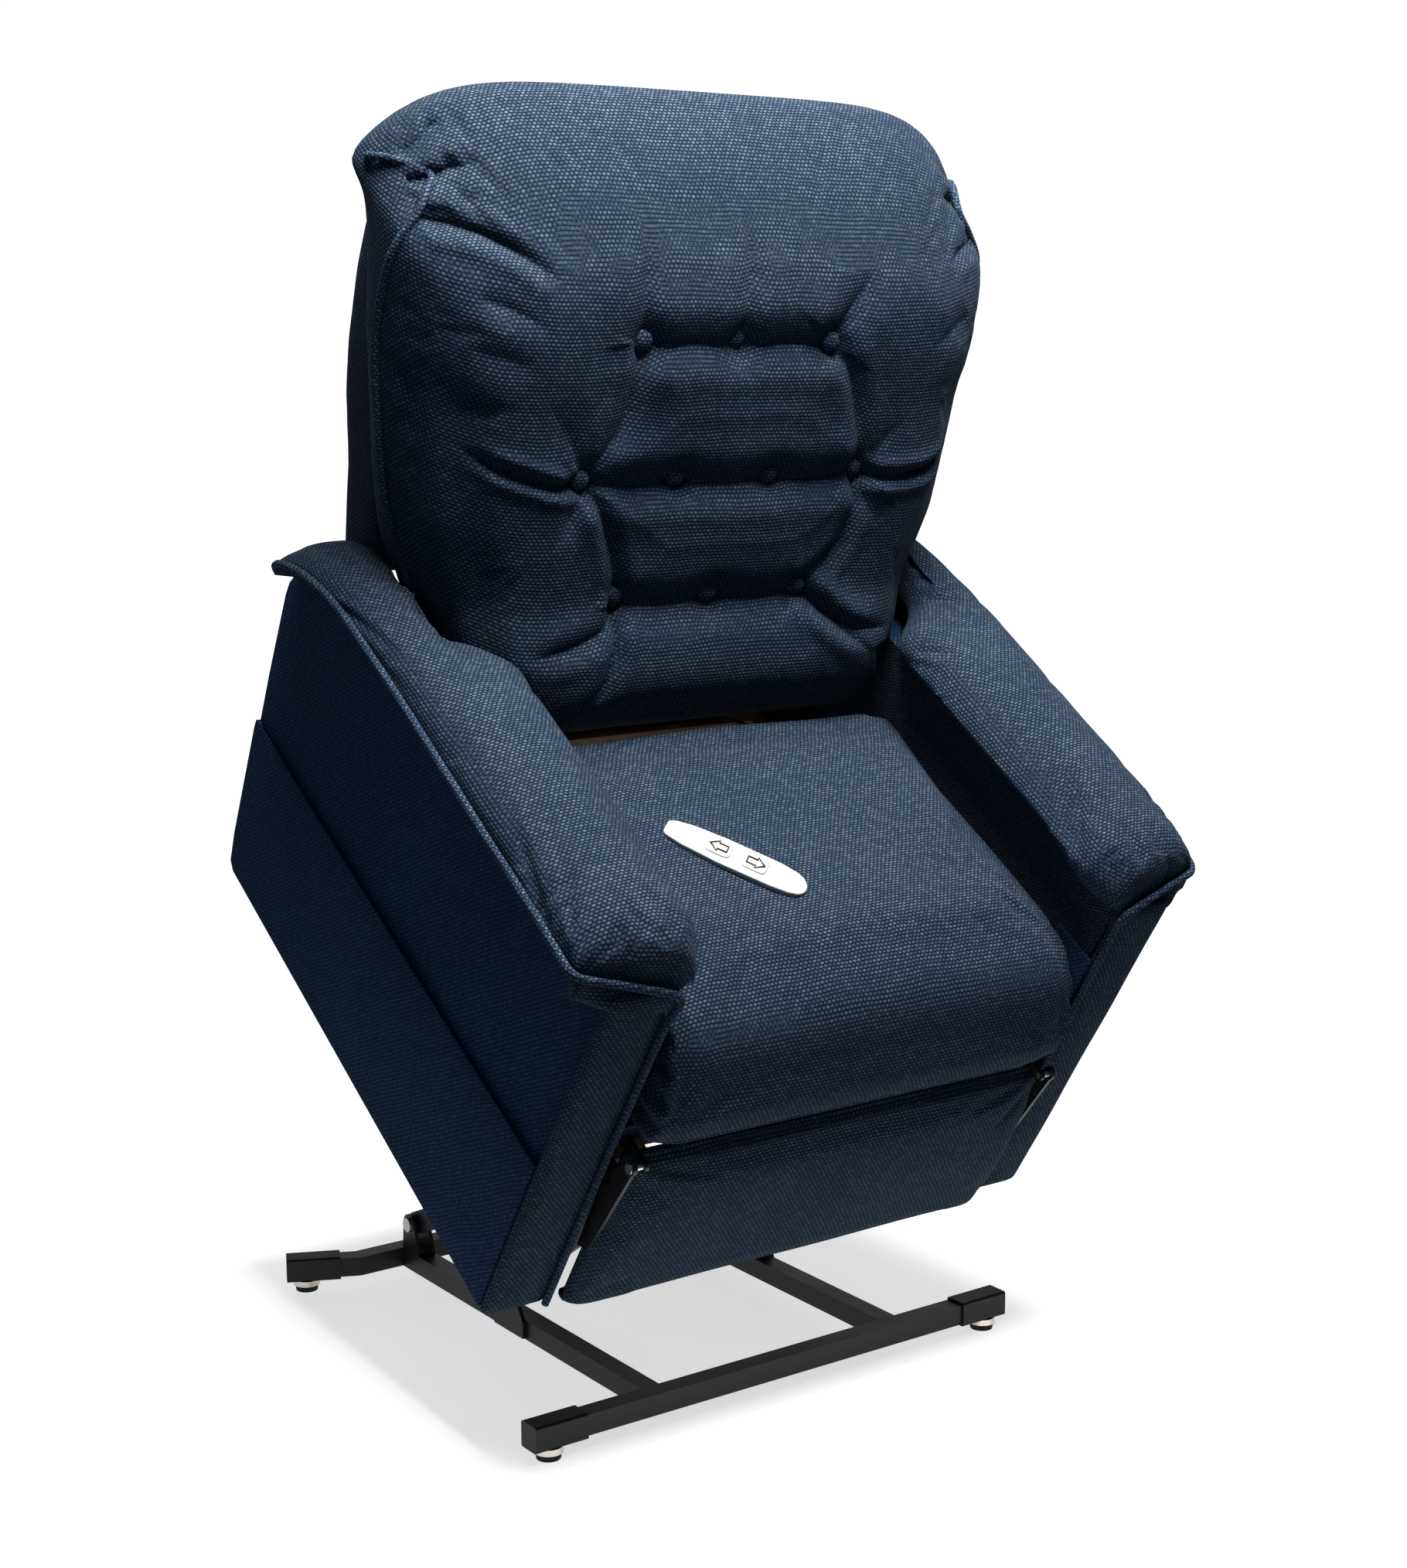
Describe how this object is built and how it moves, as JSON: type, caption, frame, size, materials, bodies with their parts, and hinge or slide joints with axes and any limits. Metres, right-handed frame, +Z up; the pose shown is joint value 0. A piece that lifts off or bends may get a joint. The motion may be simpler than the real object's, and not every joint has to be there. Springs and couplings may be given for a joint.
{
  "type": "lift recliner chair",
  "caption": "Upholstered lift recliner chair raised on a steel floor frame, with a tufted reclining back, padded arms, a swing-out leg rest and a corded handset.",
  "frame": {"origin": "on the floor under the middle of the raised chair's bounding box", "axes": "+Z up, +X the sitter's left, -Y the way the sitter faces"},
  "size_m": [0.8826, 0.905, 1.5247],
  "materials": {
    "black_steel": "satin",
    "zinc_steel": "satin",
    "black_plastic": "matt",
    "polished_rod": "gloss",
    "nickel": "gloss",
    "glide_rubber": "matt",
    "cord_rubber": "matt",
    "grey_plastic": "matt",
    "white_plastic": "satin",
    "plywood": "raw",
    "navy_fabric": "woven, matt"
  },
  "bodies": {
    "floor_frame": {"front_cross_tube": "black_steel", "rear_cross_tube": "black_steel", "side_rails": "black_steel", "tube_end_caps": "black_plastic", "glide_pads": "glide_rubber", "glide_rings": "nickel", "rear_pivot_brackets": "black_steel", "front_pivot_brackets": "black_steel", "actuator_bracket": "black_steel", "floor_pivot_pins": "zinc_steel"},
    "lift_arms": {"lift_arm_left": "black_steel", "lift_arm_right": "black_steel", "lift_cross_tube": "black_steel"},
    "lower_link_left": {"lower_link_left": "black_steel"},
    "lower_link_right": {"lower_link_right": "black_steel"},
    "actuator": {"actuator_housing": "black_plastic", "actuator_motor": "black_plastic"},
    "actuator_rod": {"actuator_rod": "polished_rod"},
    "carriage": {"front_cross_rail": "black_steel", "rear_cross_rail": "black_steel", "mechanism_plates": "black_steel", "carriage_pins": "zinc_steel", "seat_frame": "plywood", "seat_springs": "zinc_steel", "seat_side_brackets": "black_steel", "seat_cushion": "navy_fabric", "arm_frame_left": "plywood", "arm_frame_right": "plywood", "arm_cover_left": "navy_fabric", "arm_cover_right": "navy_fabric", "arm_side_panel_left": "navy_fabric", "arm_side_panel_right": "navy_fabric", "pocket_panels": "navy_fabric", "arm_front_panel_left": "navy_fabric", "arm_front_panel_right": "navy_fabric", "arm_pad_left": "navy_fabric", "arm_pad_right": "navy_fabric", "arm_welt_left": "navy_fabric", "arm_welt_right": "navy_fabric", "rear_valance": "navy_fabric", "power_supply_box": "black_plastic", "power_inlet": "black_plastic", "handset_case": "grey_plastic", "handset_top": "white_plastic", "lead_strain_relief": "black_plastic", "handset_lead": "cord_rubber"},
    "back": {"back_frame": "plywood", "back_springs": "zinc_steel", "back_cushion": "navy_fabric", "back_buttons": "navy_fabric", "outer_back_shell": "navy_fabric", "back_hinge_levers": "black_steel"},
    "leg_rest": {"footrest_board": "plywood", "leg_rest_cranks": "black_steel", "footrest_pad": "navy_fabric"},
    "drive_link_left": {"drive_link_left": "black_steel"},
    "drive_link_right": {"drive_link_right": "black_steel"},
    "up_button": {"up_button": "white_plastic"},
    "down_button": {"down_button": "white_plastic"}
  },
  "joints": [
    {"name": "lift", "type": "hinge", "parent": "floor_frame", "child": "lift_arms", "pos_m": [0, 0.3687, 0.08], "axis": [1, 0, 0], "range_deg": [0, 22.58]},
    {"name": "carriage_tilt", "type": "hinge", "parent": "lift_arms", "child": "carriage", "pos_m": [0, -0.08769, 0.28465], "axis": [1, 0, 0], "range_deg": [-54.63, 0]},
    {"name": "lower_link_left_swing", "type": "hinge", "parent": "floor_frame", "child": "lower_link_left", "pos_m": [0, 0.1087, 0.075], "axis": [1, 0, 0], "range_deg": [0, 32.75]},
    {"name": "lower_link_right_swing", "type": "hinge", "parent": "floor_frame", "child": "lower_link_right", "pos_m": [0, 0.1087, 0.075], "axis": [1, 0, 0], "range_deg": [0, 32.75]},
    {"name": "actuator_swing", "type": "hinge", "parent": "floor_frame", "child": "actuator", "pos_m": [0, 0.3787, 0.07], "axis": [1, 0, 0], "range_deg": [0, 18.29]},
    {"name": "actuator_stroke", "type": "slide", "parent": "actuator", "child": "actuator_rod", "axis": [0, -0.8319, 0.5549], "range_m": [-0.1, 0]},
    {"name": "recline", "type": "hinge", "parent": "carriage", "child": "back", "pos_m": [0, 0.13056, 0.84117], "axis": [-1, 0, 0], "range_deg": [0, 36]},
    {"name": "leg_rest_swing", "type": "hinge", "parent": "carriage", "child": "leg_rest", "pos_m": [0, -0.3256, 0.371], "axis": [-1, 0, 0], "range_deg": [0, 78.05]},
    {"name": "drive_link_left_swing", "type": "hinge", "parent": "back", "child": "drive_link_left", "pos_m": [0, 0.18885, 0.74789], "axis": [1, 0, 0], "range_deg": [0, 37.18]},
    {"name": "drive_link_right_swing", "type": "hinge", "parent": "back", "child": "drive_link_right", "pos_m": [0, 0.18885, 0.74789], "axis": [1, 0, 0], "range_deg": [0, 37.18]},
    {"name": "up_button_press", "type": "slide", "parent": "carriage", "child": "up_button", "axis": [0, 0.5299, -0.848], "range_m": [0, 0.0015], "stiffness_N_per_m": 400, "springref_m": -0.0012},
    {"name": "down_button_press", "type": "slide", "parent": "carriage", "child": "down_button", "axis": [0, 0.5299, -0.848], "range_m": [0, 0.0015], "stiffness_N_per_m": 400, "springref_m": -0.0012}
  ],
  "couplings": [
    {"joint": "carriage_tilt", "follows": "lift", "ratio": -2.4171},
    {"joint": "lower_link_left_swing", "follows": "lift", "ratio": 1.4483},
    {"joint": "lower_link_right_swing", "follows": "lift", "ratio": 1.4483},
    {"joint": "actuator_swing", "follows": "lift", "ratio": 0.80766},
    {"joint": "actuator_stroke", "follows": "lift", "m_per_rad": -0.25347},
    {"joint": "leg_rest_swing", "follows": "recline", "ratio": 2.1667},
    {"joint": "drive_link_left_swing", "follows": "recline", "ratio": 1.0314},
    {"joint": "drive_link_right_swing", "follows": "recline", "ratio": 1.0314}
  ]
}
